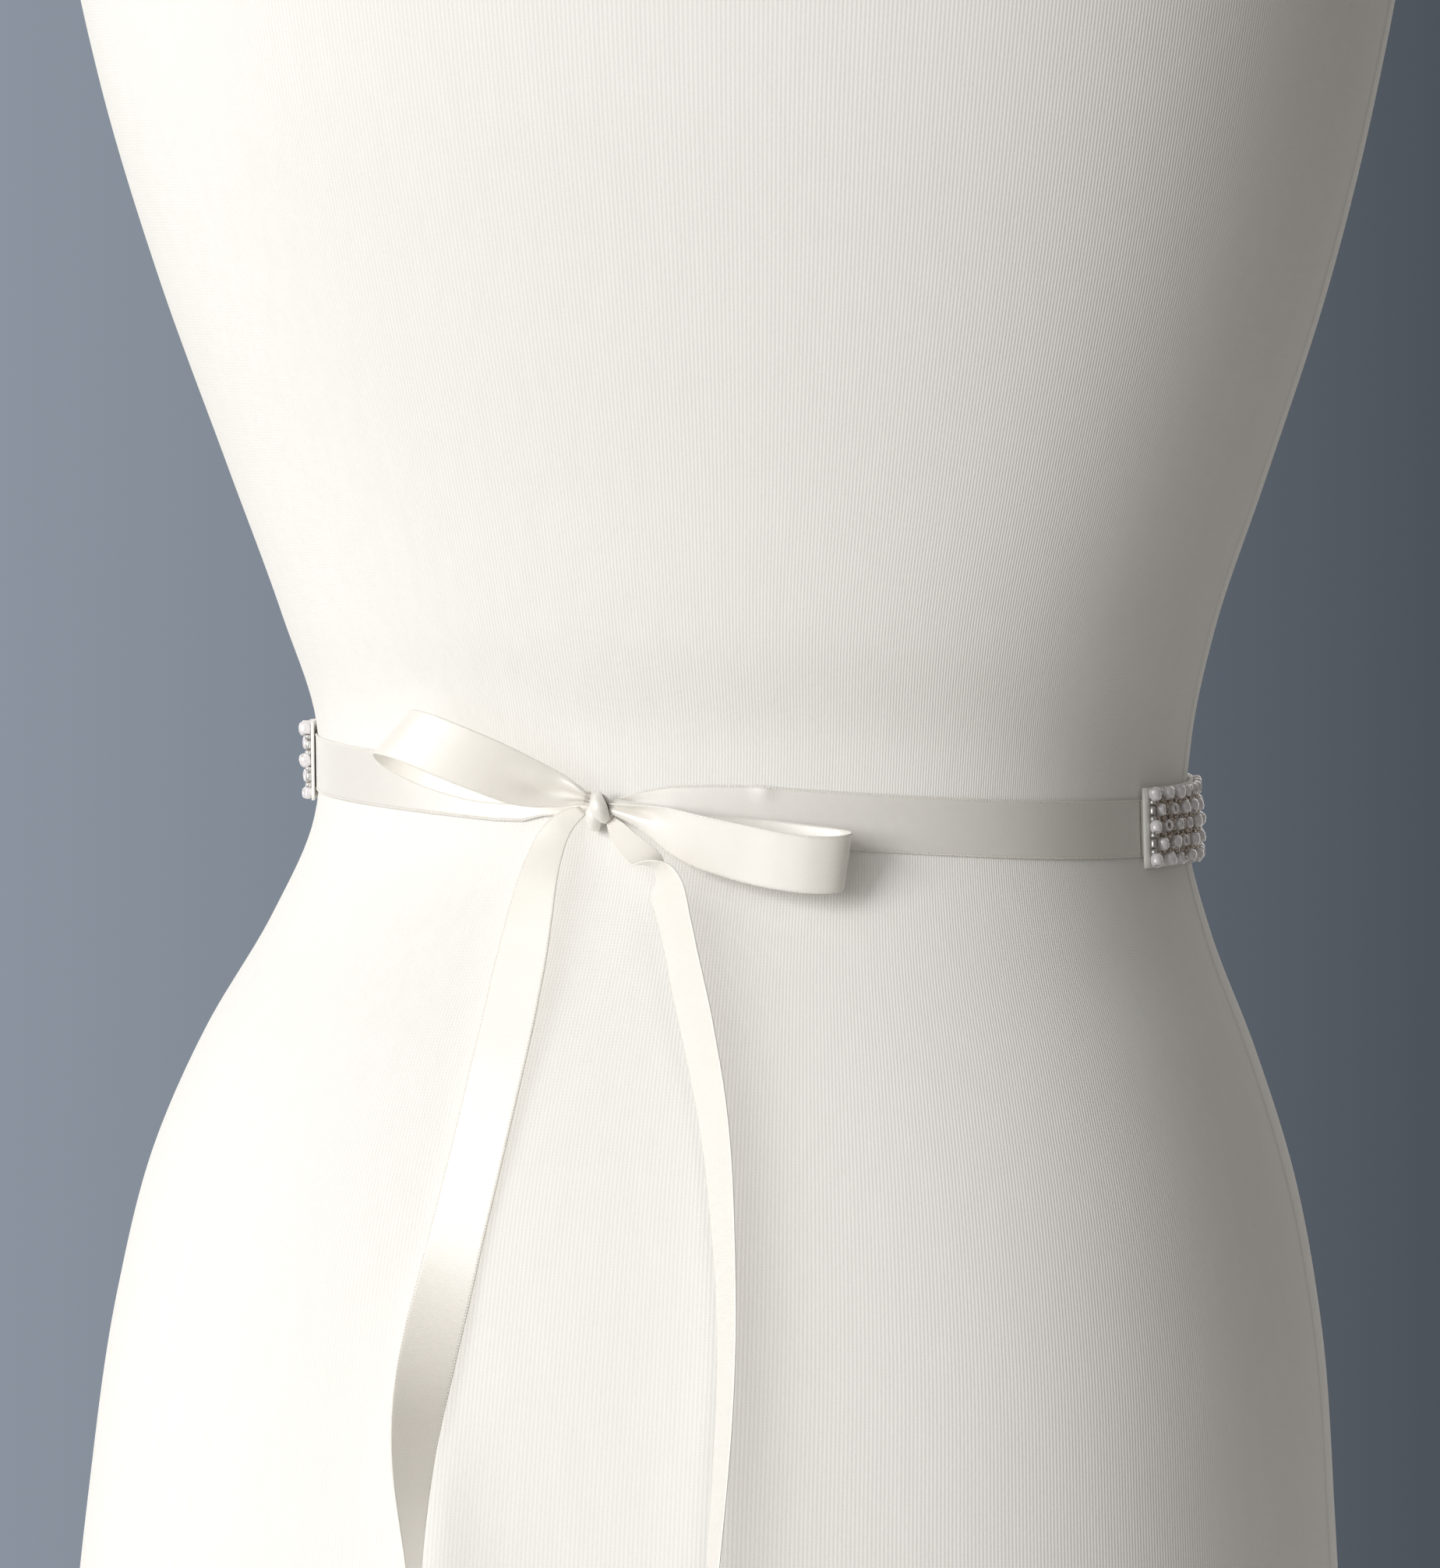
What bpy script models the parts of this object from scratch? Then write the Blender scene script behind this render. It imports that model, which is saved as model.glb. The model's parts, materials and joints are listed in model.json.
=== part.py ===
"""Beaded bridal sash on a dress form.

A 15 mm satin ribbon runs once round the waist and is tied in a bow at the wearer's back. A beaded panel is
sewn over the ribbon across the front. The form stands on its flat base.

Frame: metres, +Z up, origin at the middle of the base. The wearer's back and the bow face -Y, the middle
of the beaded panel faces +Y, and the wearer's right is +X.
"""

import math
from bisect import bisect_right
from collections import namedtuple

import bmesh
import bpy
import numpy as np
from mathutils import Vector

# The ribbon and the beaded panel
RIBBON_WIDTH = 0.015
CLOTH_WALL = 0.001
FORM_GAP = 0.0005
SEAM_GAP = 0.0003
SEAM_TURN = math.radians(0.21)
BEAD_GAP = 0.0006
PANEL_HEIGHT = 0.0205
BEAD_HEIGHT = 0.0195
BEAD_DEPTH = 0.0026
PANEL_END_TURN = math.radians(71.5)
BEAD_END_MARGIN = math.radians(0.6)

# The sash's ring round the waist, a little lower at the wearer's right
SASH_HEIGHT = 0.355
SASH_TILT = -math.tan(math.radians(2.75))

# The knot, on the ring and left of centre back
KNOT_TURN = math.radians(-7.35)
KNOT_DROP = 0.0026
KNOT_SIZE = (0.0058, 0.0064, 0.0090)
KNOT_LIFT = 0.0042
KNOT_SUBDIVISIONS = 3

# How finely the solids are faceted
FORM_SIDES = 44
RING_PITCH = 0.018
WAIST_RING_PITCH = 0.0075
WAIST_BAND = (0.325, 0.385)
LEAST_SIDE = 0.2
ACROSS = 3
LOOP_STEPS = 3
LEFT_TAIL_STEPS = 2
RIGHT_TAIL_STEPS = 3
SMOOTH_BELOW = math.radians(55)

# The form's plan is an oval squared off by this share of its half width
SQUARENESS = 0.03

# How the form's surface is probed for a direction, and searched for a place
PROBE = 1e-4
HALVINGS = 40

Section = namedtuple("Section", "z half_width centre_y back_depth front_depth")
FORM_SECTIONS = (
    Section(0.000, 0.1580, 0.0000, 0.1080, 0.1000),
    Section(0.060, 0.1680, 0.0000, 0.1145, 0.1060),
    Section(0.120, 0.1705, 0.0010, 0.1165, 0.1100),
    Section(0.170, 0.1670, 0.0040, 0.1165, 0.1120),
    Section(0.220, 0.1615, 0.0080, 0.1120, 0.1100),
    Section(0.260, 0.1525, 0.0110, 0.1055, 0.1050),
    Section(0.290, 0.1410, 0.0170, 0.0990, 0.0970),
    Section(0.320, 0.1265, 0.0285, 0.0930, 0.0830),
    Section(0.345, 0.1182, 0.0370, 0.0880, 0.0740),
    Section(0.370, 0.1184, 0.0395, 0.0885, 0.0730),
    Section(0.400, 0.1257, 0.0305, 0.0900, 0.0840),
    Section(0.440, 0.1395, 0.0245, 0.0955, 0.0940),
    Section(0.490, 0.1565, 0.0170, 0.1035, 0.0990),
    Section(0.540, 0.1700, 0.0085, 0.1090, 0.1020),
    Section(0.600, 0.1810, 0.0020, 0.1110, 0.0980),
    Section(0.660, 0.1840, -0.0020, 0.1040, 0.0860),
    Section(0.700, 0.1770, -0.0040, 0.0890, 0.0710),
    Section(0.725, 0.1580, -0.0060, 0.0750, 0.0590),
    Section(0.745, 0.1220, -0.0080, 0.0640, 0.0530),
    Section(0.762, 0.0830, -0.0080, 0.0580, 0.0520),
    Section(0.780, 0.0630, -0.0060, 0.0560, 0.0540),
    Section(0.800, 0.0575, -0.0040, 0.0545, 0.0545),
    Section(0.825, 0.0565, -0.0020, 0.0540, 0.0540),
)
SHOULDER_RINGS = (0.68, 0.70, 0.713, 0.725, 0.735, 0.745, 0.754, 0.762, 0.771, 0.78, 0.80, 0.825)

# The bust: two soft mounds on the front
BUST_APEX = (0.072, 0.518)
BUST_RISE = 0.032
BUST_SPREAD = (0.060, 0.046, 0.072)

# Each ribbon stretch of the bow is a row of rungs laid across it. A rung's place is measured from the
# knot's middle: right (+X), up (+Z) and out, in millimetres. Out is away from the wearer (-Y) on a loop,
# and the clearance from the form on a tail. Its direction is an angle from upright towards the right,
# and then a tip outwards.
Rung = namedtuple("Rung", "right up out width lean tip")
LEFT_LOOP = (
    Rung(-2.9, 3.4, 1.4, 2.8, 14, 0),
    Rung(-9.8, 5.0, 2.8, 8.6, 16, -4),
    Rung(-18.5, 7.2, 5.0, 13.0, 20, -6),
    Rung(-28.5, 11.2, 7.5, 14.6, 25, -8),
    Rung(-38.5, 15.0, 8.6, 15.0, 30, -8),
    Rung(-47.0, 18.0, 8.0, 15.0, 35, -8),
    Rung(-53.0, 19.2, 5.6, 15.0, 38, -8),
    Rung(-56.0, 18.6, 1.6, 15.0, 40, -8),
    Rung(-54.5, 15.6, -2.2, 15.0, 38, -6),
    Rung(-47.5, 12.0, -3.4, 15.0, 33, -5),
    Rung(-39.5, 9.6, -3.0, 15.0, 29, -4),
    Rung(-31.0, 8.0, -2.4, 15.0, 26, -3),
    Rung(-22.0, 6.4, -1.8, 12.0, 22, -2),
    Rung(-12.5, 5.2, -1.2, 7.6, 18, 0),
    Rung(-2.8, 3.4, -0.6, 2.8, 14, 0),
)
RIGHT_LOOP = (
    Rung(3.5, 0.9, 1.6, 2.4, 0, 0),
    Rung(10.5, -0.6, 3.0, 5.4, 0, 2),
    Rung(16.0, -2.2, 4.8, 8.8, 2, 4),
    Rung(21.5, -4.2, 6.6, 12.0, 5, 6),
    Rung(28.0, -6.2, 8.2, 13.8, 7, 7),
    Rung(35.0, -7.7, 9.3, 14.4, 10, 6),
    Rung(42.0, -9.1, 10.0, 15.0, 10, 5),
    Rung(50.5, -10.5, 10.8, 15.0, 10, 4),
    Rung(59.0, -11.3, 10.6, 15.0, 8, 3),
    Rung(65.5, -11.2, 8.6, 15.0, 7, 2),
    Rung(68.0, -10.6, 5.2, 15.0, 7, 0),
    Rung(64.5, -10.0, 2.2, 15.0, 8, -6),
    Rung(54.5, -9.0, 1.2, 15.0, 9, -14),
    Rung(43.0, -7.8, 1.0, 15.0, 10, -20),
    Rung(33.0, -7.0, 1.0, 14.0, 10, -18),
    Rung(23.5, -5.0, 0.6, 11.0, 9, -12),
    Rung(13.0, -1.8, -0.1, 6.0, 4, -4),
    Rung(3.4, 1.0, -0.6, 2.4, 0, 0),
)
LEFT_TAIL = (
    Rung(-4.0, -0.5, 4.4, 2.6, 130, 0),
    Rung(-6.8, -2.6, 5.4, 5.0, 130, 0),
    Rung(-9.2, -6.2, 6.6, 7.2, 126, 0),
    Rung(-11.0, -11.6, 7.6, 9.4, 117, 2),
    Rung(-12.2, -21.0, 8.8, 11.6, 106, 4),
    Rung(-13.0, -31.5, 8.2, 13.4, 101, 2),
    Rung(-14.0, -43.0, 7.0, 14.6, 99, 0),
    Rung(-16.0, -61.5, 4.6, 15.0, 100, -2),
    Rung(-20.0, -89.5, 2.8, 15.0, 102, -3),
    Rung(-24.0, -113.5, 2.8, 15.0, 102, -8),
    Rung(-26.6, -135.5, 6.2, 15.0, 100, -28),
    Rung(-27.4, -153.0, 9.4, 15.0, 97, -52),
    Rung(-26.6, -168.0, 12.0, 15.0, 93, -72),
    Rung(-23.8, -190.0, 15.0, 15.0, 90, -98),
    Rung(-20.5, -222.0, 17.0, 15.0, 90, -118),
    Rung(-18.5, -262.0, 18.5, 15.0, 90, -128),
    Rung(-18.0, -303.0, 20.0, 15.0, 90, -130),
)
RIGHT_TAIL = (
    Rung(3.8, -3.2, 4.6, 2.4, 56, 180),
    Rung(6.0, -5.8, 5.8, 4.6, 52, 172),
    Rung(9.0, -9.2, 7.6, 6.0, 48, 164),
    Rung(12.6, -12.6, 9.4, 8.0, 48, 154),
    Rung(16.2, -16.2, 10.6, 10.2, 50, 138),
    Rung(19.6, -20.0, 11.0, 12.6, 56, 104),
    Rung(22.8, -25.6, 11.2, 14.2, 64, 62),
    Rung(26.2, -33.5, 10.8, 15.0, 70, 52),
    Rung(30.2, -43.5, 9.8, 15.0, 71, 50),
    Rung(36.6, -59.5, 8.6, 15.0, 71, 50),
    Rung(42.0, -75.5, 8.0, 15.0, 74, 52),
    Rung(46.0, -92.5, 8.0, 15.0, 78, 55),
    Rung(49.2, -113.0, 8.4, 15.0, 83, 60),
    Rung(51.0, -134.0, 8.8, 15.0, 87, 63),
    Rung(51.6, -158.0, 9.6, 15.0, 90, 65),
    Rung(51.0, -187.0, 11.4, 15.0, 92, 68),
    Rung(49.0, -222.0, 13.8, 15.0, 92, 66),
    Rung(47.5, -258.0, 15.8, 15.0, 91, 60),
    Rung(47.0, -296.0, 17.2, 15.0, 90, 52),
)

# Where the waist ribbon draws together at the knot: away is the distance from the knot's middle
# along the waist, and the rest is as for a rung, in millimetres.
Gather = namedtuple("Gather", "away width drop lift")
LEFT_GATHER = (
    Gather(2.6, 2.6, 1.4, 0.8),
    Gather(10.0, 6.4, 1.0, 0.7),
    Gather(16.5, 9.8, 0.2, 0.5),
    Gather(22.0, 13.4, 0.2, 0.2),
    Gather(30.0, 15.0, 0.0, 0.0),
)
RIGHT_GATHER = (
    Gather(3.0, 2.6, 0.8, 0.8),
    Gather(10.5, 8.0, 0.4, 0.7),
    Gather(19.0, 12.4, 0.4, 0.5),
    Gather(30.0, 14.2, 0.2, 0.2),
    Gather(40.0, 15.0, 0.0, 0.0),
)

Finish = namedtuple("Finish", "name colour roughness metallic")
JERSEY = Finish("ivory_jersey", (0.86, 0.84, 0.79, 1.0), 0.85, 0.0)
SATIN = Finish("ivory_satin", (0.93, 0.89, 0.79, 1.0), 0.35, 0.0)
FELT = Finish("white_felt", (0.90, 0.89, 0.86, 1.0), 0.9, 0.0)
BEADS = Finish("pearl_and_glass_beads", (0.82, 0.80, 0.76, 1.0), 0.25, 0.1)


def curve_through(rows, at):
    """The row at `at` on a smooth curve through the rows, whose first column is the position."""
    table = np.array(rows, float)
    spots = table[:, 0]
    slopes = np.gradient(table, spots, axis=0)
    i = min(max(bisect_right(spots, at) - 1, 0), len(spots) - 2)
    gap = spots[i + 1] - spots[i]
    u = (at - spots[i]) / gap
    row = (
        (2 * u**3 - 3 * u**2 + 1) * table[i]
        + (u**3 - 2 * u**2 + u) * gap * slopes[i]
        + (3 * u**2 - 2 * u**3) * table[i + 1]
        + (u**3 - u**2) * gap * slopes[i + 1]
    )
    return row.tolist()


def bust_rise(x, z):
    """How far the bust stands proud of the front at x and z."""
    across, below, above = BUST_SPREAD
    height = (z - BUST_APEX[1]) / (above if z > BUST_APEX[1] else below)
    return sum(
        BUST_RISE * math.exp(-(((x - side * BUST_APEX[0]) / across) ** 2) - height**2) for side in (-1, 1)
    )


def surface(turn, z):
    """A point on the form: turn runs from centre back towards +X."""
    _, half_width, centre_y, back, front = curve_through(FORM_SECTIONS, z)
    across = (math.sin(turn) + SQUARENESS * math.sin(3 * turn)) / (1 - SQUARENESS)
    along = (math.cos(turn) - SQUARENESS * math.cos(3 * turn)) / (1 - SQUARENESS)
    x = half_width * across
    if along > 0:
        return Vector((x, centre_y - back * along, z))
    return Vector((x, centre_y - front * along - bust_rise(x, z) * along, z))


def form_axes(turn, z):
    """Unit vectors along the form to the right, up it, and out of it."""
    right = (surface(turn + PROBE, z) - surface(turn - PROBE, z)).normalized()
    out = right.cross(surface(turn, z + PROBE) - surface(turn, z - PROBE)).normalized()
    return right, out.cross(right), out


def off_form(turn, z, lift):
    """The point that stands `lift` clear of the form."""
    return surface(turn, z) + lift * form_axes(turn, z)[2]


def turn_at(x, z):
    """The turn at which the form's back passes x at height z."""
    low, high = -math.pi / 2, math.pi / 2
    for _ in range(HALVINGS):
        middle = (low + high) / 2
        if surface(middle, z).x < x:
            low = middle
        else:
            high = middle
    return (low + high) / 2


def ring_height(turn):
    """The height of the sash's middle line at a turn."""
    return SASH_HEIGHT + SASH_TILT * surface(turn, SASH_HEIGHT).x


KNOT_MIDDLE = off_form(KNOT_TURN, ring_height(KNOT_TURN) - KNOT_DROP, KNOT_LIFT)


def new_material(finish):
    material = bpy.data.materials.new(finish.name)
    material.use_nodes = True
    shader = material.node_tree.nodes["Principled BSDF"]
    shader.inputs["Base Color"].default_value = finish.colour
    shader.inputs["Roughness"].default_value = finish.roughness
    shader.inputs["Metallic"].default_value = finish.metallic
    material.diffuse_color = finish.colour
    return material


def add_object(name, mesh, material, collection):
    thing = bpy.data.objects.new(name, mesh)
    mesh.materials.append(material)
    collection.objects.link(thing)
    return thing


def finish_mesh(shape, name):
    """The bmesh as a mesh, its faces pointing out, smooth except across sharp edges."""
    bmesh.ops.recalc_face_normals(shape, faces=shape.faces)
    mesh = bpy.data.meshes.new(name)
    shape.to_mesh(mesh)
    shape.free()
    mesh.shade_smooth()
    mesh.set_sharp_from_angle(angle=SMOOTH_BELOW)
    return mesh


def form_ring_heights():
    """Heights of the form's rings: close together under the sash, and at each change of the shoulders."""
    low, high = WAIST_BAND
    below = np.linspace(0, low, round(low / RING_PITCH) + 1)[:-1]
    waist = np.linspace(low, high, round((high - low) / WAIST_RING_PITCH) + 1)
    chest_top = SHOULDER_RINGS[0]
    chest = np.linspace(high, chest_top, round((chest_top - high) / RING_PITCH) + 1)[1:-1]
    return [*below, *waist, *chest, *SHOULDER_RINGS]


def ring_turns():
    return [math.tau * i / FORM_SIDES for i in range(FORM_SIDES)]


def make_form(material, collection):
    """The dress form: rings of unlike sections, one above the other, closed at the base and the neck."""
    heights = form_ring_heights()
    shape = bmesh.new()
    bmesh.ops.create_circle(shape, segments=FORM_SIDES, radius=1)
    ring = list(shape.verts)
    edges = list(shape.edges)
    for vert, turn in zip(ring, ring_turns()):
        vert.co = surface(turn, heights[0])
    bmesh.ops.contextual_create(shape, geom=edges)
    for z in heights[1:]:
        grown = bmesh.ops.extrude_edge_only(shape, edges=edges)["geom"]
        ring = [part for part in grown if isinstance(part, bmesh.types.BMVert)]
        edges = [part for part in grown if isinstance(part, bmesh.types.BMEdge) and part.is_boundary]
        for vert, turn in zip(ring, ring_turns()):
            vert.co = surface(turn, z)
    bmesh.ops.contextual_create(shape, geom=edges)
    return add_object("dress_form", finish_mesh(shape, "dress_form"), material, collection)


def ladder(rungs):
    """An open surface through the rungs, each a list of points across the cloth."""
    shape = bmesh.new()
    verts = [shape.verts.new(point) for point in rungs[0]]
    edges = [shape.edges.new(pair) for pair in zip(verts, verts[1:])]
    for rung in rungs[1:]:
        grown = bmesh.ops.extrude_edge_only(shape, edges=edges)["geom"]
        verts = [part for part in grown if isinstance(part, bmesh.types.BMVert)]
        edges = [shape.edges.get(pair) for pair in zip(verts, verts[1:])]
        for vert, point in zip(verts, rung):
            vert.co = point
    return shape


def add_cloth(name, rungs, wall, offset, material, collection):
    """A wall of cloth on the rungs' open surface. Offset 1 grows it outwards, and 0 both ways."""
    shape = ladder(rungs)
    mesh = bpy.data.meshes.new(name)
    shape.to_mesh(mesh)
    shape.free()
    mesh.shade_smooth()
    cloth = add_object(name, mesh, material, collection)
    solidify = cloth.modifiers.new("Wall", "SOLIDIFY")
    solidify.thickness = wall
    solidify.offset = offset
    solidify.use_even_offset = True
    return cloth


def ring_stretch(first, last):
    """Turns from first to last, stopping at each of the form's own sides between them."""
    side = math.tau / FORM_SIDES
    start, stop = math.ceil(first / side + LEAST_SIDE), math.floor(last / side - LEAST_SIDE)
    return [first, *(side * k for k in range(start, stop + 1)), last]


def upright_rung(turn, middle, height, lift):
    """Points up the form at a turn, the height of the cloth across them."""
    heights = np.linspace(middle - height / 2, middle + height / 2, ACROSS)
    return [off_form(turn, float(z), lift) for z in heights]


def wrapped_strip(first, last, height, lift):
    return [upright_rung(turn, ring_height(turn), height, lift) for turn in ring_stretch(first, last)]


def gathered_rungs(rows, side):
    """Rungs of the waist ribbon from the knot out to where it lies flat. Side is -1 left and 1 right."""
    rungs = []
    for row in rows:
        x = KNOT_MIDDLE.x + side * row.away / 1000
        turn = turn_at(x, SASH_HEIGHT)
        middle = ring_height(turn) - row.drop / 1000
        rungs.append(upright_rung(turn, middle, row.width / 1000, FORM_GAP + row.lift / 1000))
    return rungs, turn


def make_waist_ribbons(material, collection):
    """The ribbon round the waist: left and right stretches from the knot, and the one behind the panel."""
    right_rungs, turn = gathered_rungs(RIGHT_GATHER, 1)
    right_rungs += wrapped_strip(turn, PANEL_END_TURN, RIBBON_WIDTH, FORM_GAP)[1:]
    add_cloth("waist_ribbon_right", right_rungs, CLOTH_WALL, 1, material, collection)
    left_rungs, turn = gathered_rungs(LEFT_GATHER, -1)
    strip = wrapped_strip(-PANEL_END_TURN, turn, RIBBON_WIDTH, FORM_GAP)[:-1]
    left_rungs = strip + left_rungs[::-1]
    add_cloth("waist_ribbon_left", left_rungs, CLOTH_WALL, 1, material, collection)
    first = PANEL_END_TURN + SEAM_TURN
    behind = wrapped_strip(first, math.tau - first, RIBBON_WIDTH, FORM_GAP)
    add_cloth("waist_ribbon_behind_panel", behind, CLOTH_WALL, 1, material, collection)


def make_panel(felt, beads, collection):
    """The bead panel: its felt backing lies on the ribbon, and the layer of beads on the backing."""
    first, last = PANEL_END_TURN, math.tau - PANEL_END_TURN
    felt_lift = FORM_GAP + CLOTH_WALL + SEAM_GAP
    backing = wrapped_strip(first, last, PANEL_HEIGHT, felt_lift)
    add_cloth("panel_backing", backing, CLOTH_WALL, 1, felt, collection)
    bead_lift = felt_lift + CLOTH_WALL + BEAD_GAP
    layer = wrapped_strip(first + BEAD_END_MARGIN, last - BEAD_END_MARGIN, BEAD_HEIGHT, bead_lift)
    add_cloth("bead_layer", layer, BEAD_DEPTH, 1, beads, collection)


def make_knot(material, collection):
    """The knot: a small tight lump, taller than it is wide."""
    shape = bmesh.new()
    bmesh.ops.create_icosphere(shape, subdivisions=KNOT_SUBDIVISIONS, radius=0.5)
    bmesh.ops.scale(shape, vec=KNOT_SIZE, verts=shape.verts)
    bmesh.ops.translate(shape, vec=KNOT_MIDDLE, verts=shape.verts)
    return add_object("knot", finish_mesh(shape, "knot"), material, collection)


def cross_direction(rung, axes):
    """The unit vector along a rung, in the right, up and out axes."""
    lean, tip = math.radians(rung.lean), math.radians(rung.tip)
    right, up, out = axes
    level = math.sin(lean) * right + math.cos(lean) * up
    return math.cos(tip) * level + math.sin(tip) * out


def loop_rung(rung):
    """A loop's rung, in axes square to the wearer."""
    axes = (Vector((1, 0, 0)), Vector((0, 0, 1)), Vector((0, -1, 0)))
    place = (rung.right, rung.up, rung.out)
    middle = KNOT_MIDDLE + sum((far / 1000 * axis for far, axis in zip(place, axes)), Vector())
    return middle, cross_direction(rung, axes)


def tail_rung(rung):
    """A tail's rung, in the form's own axes below the knot."""
    z = KNOT_MIDDLE.z + rung.up / 1000
    turn = turn_at(KNOT_MIDDLE.x + rung.right / 1000, z)
    return off_form(turn, z, rung.out / 1000), cross_direction(rung, form_axes(turn, z))


def ribbon_rungs(rows, place, steps):
    """Rungs on a smooth curve through the rows, `steps` to a row."""
    numbered = [(i, *row) for i, row in enumerate(rows)]
    rungs = []
    for i in range((len(rows) - 1) * steps + 1):
        rung = Rung(*curve_through(numbered, i / steps)[1:])
        middle, along = place(rung)
        half = rung.width / 2000
        rungs.append([middle + float(spot) * along for spot in np.linspace(-half, half, ACROSS)])
    return rungs


def make_bow(material, collection):
    """The two loops and the two tails, each ending just clear of the knot."""
    for name, rows, place, steps in (
        ("loop_left", LEFT_LOOP, loop_rung, LOOP_STEPS),
        ("loop_right", RIGHT_LOOP, loop_rung, LOOP_STEPS),
        ("tail_left", LEFT_TAIL, tail_rung, LEFT_TAIL_STEPS),
        ("tail_right", RIGHT_TAIL, tail_rung, RIGHT_TAIL_STEPS),
    ):
        add_cloth(name, ribbon_rungs(rows, place, steps), CLOTH_WALL, 0, material, collection)


def main():
    for thing in list(bpy.data.objects):
        bpy.data.objects.remove(thing, do_unlink=True)
    collection = bpy.data.collections.new("Beaded bridal sash on a dress form")
    bpy.context.scene.collection.children.link(collection)
    jersey, satin, felt, beads = (new_material(finish) for finish in (JERSEY, SATIN, FELT, BEADS))
    make_form(jersey, collection)
    make_waist_ribbons(satin, collection)
    make_panel(felt, beads, collection)
    make_knot(satin, collection)
    make_bow(satin, collection)


main()
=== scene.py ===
"""Beaded bridal sash on a dress form: the cloth, the beads, the form's cover and the stage.

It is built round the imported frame, in metres, with +Z up. The wearer's back and the bow face -Y, the
middle of the beaded panel faces +Y, and the wearer's right is +X.
"""

import json
import math
from collections import namedtuple

import bmesh
import bpy
import numpy as np
from bpy.props import FloatProperty, FloatVectorProperty, IntProperty, PointerProperty
from mathutils import Matrix, Vector

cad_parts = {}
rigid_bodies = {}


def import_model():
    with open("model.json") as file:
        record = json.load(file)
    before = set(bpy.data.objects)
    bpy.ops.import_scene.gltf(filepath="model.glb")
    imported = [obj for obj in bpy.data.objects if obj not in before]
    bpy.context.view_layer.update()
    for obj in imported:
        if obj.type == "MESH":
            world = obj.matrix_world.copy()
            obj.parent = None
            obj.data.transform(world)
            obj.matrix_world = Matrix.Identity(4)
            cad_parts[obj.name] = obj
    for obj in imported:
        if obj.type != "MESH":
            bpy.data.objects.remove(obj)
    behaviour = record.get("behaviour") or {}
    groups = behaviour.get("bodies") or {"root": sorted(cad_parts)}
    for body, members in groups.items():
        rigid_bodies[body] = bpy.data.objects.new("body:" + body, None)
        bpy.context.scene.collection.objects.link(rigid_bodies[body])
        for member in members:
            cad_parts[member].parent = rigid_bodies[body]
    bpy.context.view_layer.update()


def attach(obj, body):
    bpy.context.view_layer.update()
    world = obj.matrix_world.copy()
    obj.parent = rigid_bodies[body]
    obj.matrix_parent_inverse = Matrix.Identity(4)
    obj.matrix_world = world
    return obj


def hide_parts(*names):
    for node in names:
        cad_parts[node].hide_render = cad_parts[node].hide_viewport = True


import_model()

bl_info = {
    "name": "Beaded bridal sash",
    "version": (1, 0, 0),
    "blender": (4, 5, 0),
    "location": "3D View > Sidebar > Sash",
    "description": "Builds a beaded ribbon sash, tied in a bow round a dress form",
    "category": "Object",
}

BODY = "root"

# The form's plan at each height: z, half_width, centre_y, back_depth, front_depth
FORM_SECTIONS = (
    (0.000, 0.1580, 0.0000, 0.1080, 0.1000),
    (0.060, 0.1680, 0.0000, 0.1145, 0.1060),
    (0.120, 0.1705, 0.0010, 0.1165, 0.1100),
    (0.170, 0.1670, 0.0040, 0.1165, 0.1120),
    (0.220, 0.1615, 0.0080, 0.1120, 0.1100),
    (0.260, 0.1525, 0.0110, 0.1055, 0.1050),
    (0.290, 0.1410, 0.0170, 0.0990, 0.0970),
    (0.320, 0.1265, 0.0285, 0.0930, 0.0830),
    (0.345, 0.1182, 0.0370, 0.0880, 0.0740),
    (0.370, 0.1184, 0.0395, 0.0885, 0.0730),
    (0.400, 0.1257, 0.0305, 0.0900, 0.0840),
    (0.440, 0.1395, 0.0245, 0.0955, 0.0940),
    (0.490, 0.1565, 0.0170, 0.1035, 0.0990),
    (0.540, 0.1700, 0.0085, 0.1090, 0.1020),
    (0.600, 0.1810, 0.0020, 0.1110, 0.0980),
    (0.660, 0.1840, -0.0020, 0.1040, 0.0860),
    (0.700, 0.1770, -0.0040, 0.0890, 0.0710),
    (0.725, 0.1580, -0.0060, 0.0750, 0.0590),
    (0.745, 0.1220, -0.0080, 0.0640, 0.0530),
    (0.762, 0.0830, -0.0080, 0.0580, 0.0520),
    (0.780, 0.0630, -0.0060, 0.0560, 0.0540),
    (0.800, 0.0575, -0.0040, 0.0545, 0.0545),
    (0.825, 0.0565, -0.0020, 0.0540, 0.0540),
)
SQUARENESS = 0.03
BUST_APEX = (0.072, 0.518)
BUST_RISE = 0.032
BUST_SPREAD = (0.060, 0.046, 0.072)
PROBE = 1e-4
HALVINGS = 40

# The sash's ring and the panel's ends on it, and the knot
SASH_HEIGHT = 0.355
SASH_TILT = -math.tan(math.radians(2.75))
PANEL_END_TURN = math.radians(71.5)
KNOT_TURN = math.radians(-7.35)
KNOT_DROP = 0.0026
KNOT_LIFT = 0.0042

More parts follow.
